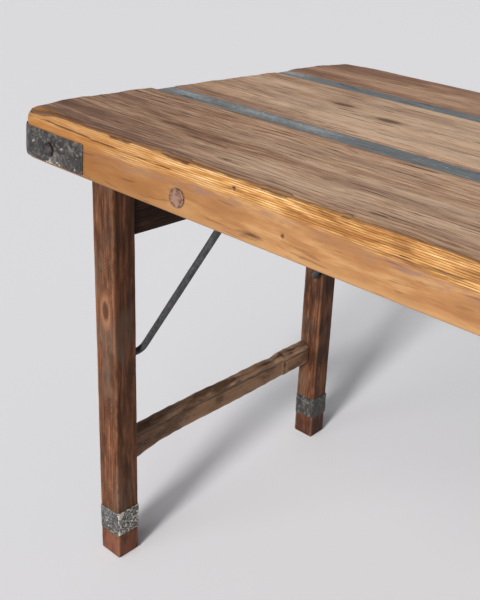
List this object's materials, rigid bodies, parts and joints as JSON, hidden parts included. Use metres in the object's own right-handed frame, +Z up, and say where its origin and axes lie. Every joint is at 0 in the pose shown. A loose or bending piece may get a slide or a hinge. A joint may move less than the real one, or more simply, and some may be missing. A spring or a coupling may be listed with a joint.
{
  "type": "folding table",
  "caption": "Rustic folding trestle table: plank top with painted strips and thick side rails on two folding leg frames held by hooked iron stays.",
  "frame": {"origin": "centre of the footprint, on the floor", "axes": "+X along the length, +Y from the front long side to the back, +Z up"},
  "size_m": [2.0152, 0.7755, 0.76],
  "materials": {
    "golden_pine": "worn varnished golden pine",
    "weathered_plank": "weathered grey-brown plank",
    "blue_grey_paint": "old blue-grey paint on wood",
    "dark_stained_wood": "dark red-brown stain",
    "galvanised_band": "mottled grey zinc with pale flecks",
    "strap_iron": "dark mottled iron",
    "rod_iron": "charcoal iron",
    "rusty_bolt": "dull brown rusted iron"
  },
  "bodies": {
    "top": {"batten_left": "dark_stained_wood", "batten_middle": "dark_stained_wood", "batten_right": "dark_stained_wood", "corner_strap_left_back": "strap_iron", "corner_strap_left_front": "strap_iron", "corner_strap_right_back": "strap_iron", "corner_strap_right_front": "strap_iron", "end_rail_left": "golden_pine", "end_rail_right": "golden_pine", "hook_bar_left": "rusty_bolt", "hook_bar_left_nut": "rusty_bolt", "hook_bar_right": "rusty_bolt", "hook_bar_right_nut": "rusty_bolt", "painted_strip_back": "blue_grey_paint", "painted_strip_front": "blue_grey_paint", "pivot_rod_left": "rusty_bolt", "pivot_rod_left_nut": "rusty_bolt", "pivot_rod_right": "rusty_bolt", "pivot_rod_right_nut": "rusty_bolt", "pivot_spacer_left_back": "rod_iron", "pivot_spacer_left_front": "rod_iron", "pivot_spacer_right_back": "rod_iron", "pivot_spacer_right_front": "rod_iron", "plank_back": "weathered_plank", "plank_front": "weathered_plank", "plank_middle": "weathered_plank", "side_rail_back": "golden_pine", "side_rail_front": "golden_pine", "strap_bolt_left_back": "rusty_bolt", "strap_bolt_left_front": "rusty_bolt", "strap_bolt_right_back": "rusty_bolt", "strap_bolt_right_front": "rusty_bolt"},
    "frame_left": {"cross_rail_left": "dark_stained_wood", "foot_band_left_back": "galvanised_band", "foot_band_left_front": "galvanised_band", "leg_left_back": "dark_stained_wood", "leg_left_front": "dark_stained_wood", "stretcher_left": "dark_stained_wood"},
    "frame_right": {"cross_rail_right": "dark_stained_wood", "foot_band_right_back": "galvanised_band", "foot_band_right_front": "galvanised_band", "leg_right_back": "dark_stained_wood", "leg_right_front": "dark_stained_wood", "stretcher_right": "dark_stained_wood"},
    "stay_left_back": {"stay_left_back": "rod_iron"},
    "stay_left_front": {"stay_left_front": "rod_iron"},
    "stay_right_back": {"stay_right_back": "rod_iron"},
    "stay_right_front": {"stay_right_front": "rod_iron"}
  },
  "joints": [
    {"name": "leg_fold_left", "type": "hinge", "parent": "top", "child": "frame_left", "pos_m": [-0.931, 0, 0.7125], "axis": [0, -1, 0], "range_deg": [0, 78]},
    {"name": "stay_swing_left_front", "type": "hinge", "parent": "frame_left", "child": "stay_left_front", "pos_m": [-0.89721, -0.249, 0.36997], "axis": [0, 1, 0], "range_deg": [0, 146.8]},
    {"name": "stay_swing_left_back", "type": "hinge", "parent": "frame_left", "child": "stay_left_back", "pos_m": [-0.89721, 0.249, 0.36997], "axis": [0, 1, 0], "range_deg": [0, 146.8]},
    {"name": "leg_fold_right", "type": "hinge", "parent": "top", "child": "frame_right", "pos_m": [0.931, 0, 0.7125], "axis": [0, 1, 0], "range_deg": [0, 78]},
    {"name": "stay_swing_right_front", "type": "hinge", "parent": "frame_right", "child": "stay_right_front", "pos_m": [0.89721, -0.249, 0.36997], "axis": [0, -1, 0], "range_deg": [0, 146.8]},
    {"name": "stay_swing_right_back", "type": "hinge", "parent": "frame_right", "child": "stay_right_back", "pos_m": [0.89721, 0.249, 0.36997], "axis": [0, -1, 0], "range_deg": [0, 146.8]}
  ],
  "couplings": [
    {"joint": "stay_swing_left_front", "follows": "leg_fold_left", "ratio": 1.881},
    {"joint": "stay_swing_left_back", "follows": "leg_fold_left", "ratio": 1.881},
    {"joint": "stay_swing_right_front", "follows": "leg_fold_right", "ratio": 1.881},
    {"joint": "stay_swing_right_back", "follows": "leg_fold_right", "ratio": 1.881}
  ]
}
